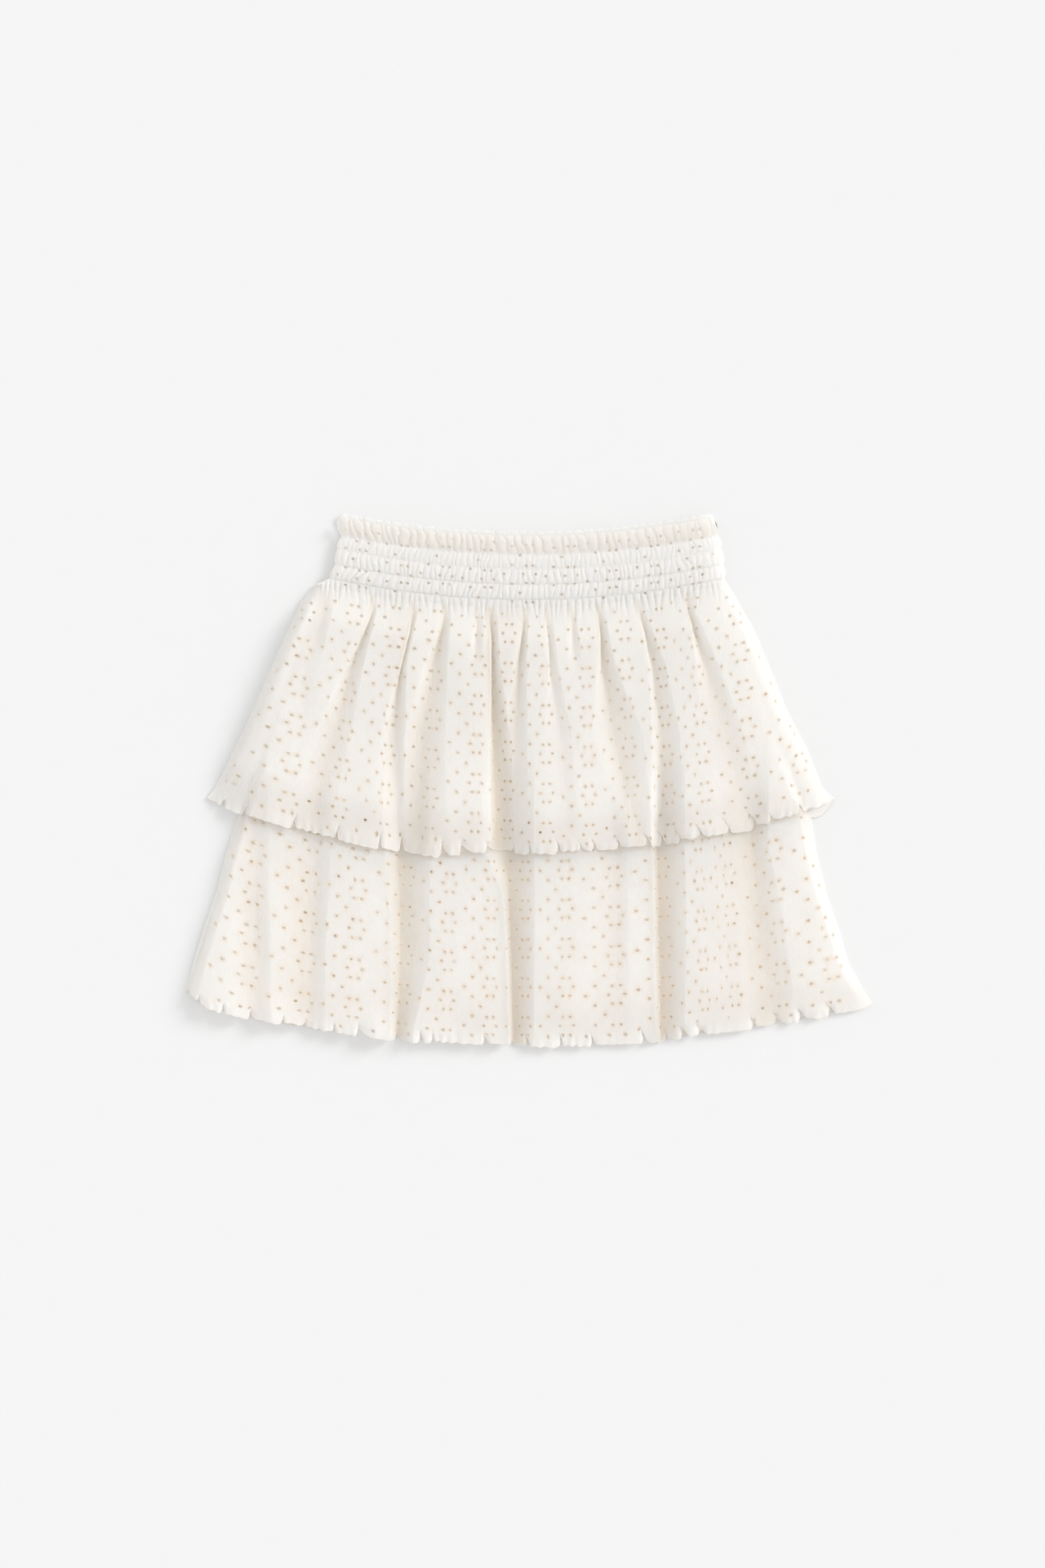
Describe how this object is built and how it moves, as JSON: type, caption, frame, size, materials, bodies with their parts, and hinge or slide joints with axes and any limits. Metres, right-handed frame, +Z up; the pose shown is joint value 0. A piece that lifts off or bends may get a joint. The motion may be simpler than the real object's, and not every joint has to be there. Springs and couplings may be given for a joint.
{
  "type": "tiered ruffle skirt",
  "caption": "Child's pull-on skirt in cream eyelet jersey, laid flat: gathered ruffle tiers with lettuce hems hang from a shirred elastic waistband with a frill heading.",
  "frame": {"origin": "middle of the skirt's outline, on the surface it lies on", "axes": "+X to the right across the skirt as laid, +Y from the hem towards the waist, +Z up from the surface"},
  "size_m": [0.4617, 0.3577, 0.0183],
  "materials": {
    "eyelet_jersey": "matt knit jersey with small eyelet holes",
    "shirred_waistband": "the same jersey, gathered on elastic thread"
  },
  "bodies": {
    "root": {"waistband_front": "shirred_waistband", "waistband_back": "shirred_waistband", "upper_tier_front": "eyelet_jersey", "upper_tier_back": "eyelet_jersey", "lower_tier_front": "eyelet_jersey", "lower_tier_back": "eyelet_jersey"}
  },
  "joints": []
}
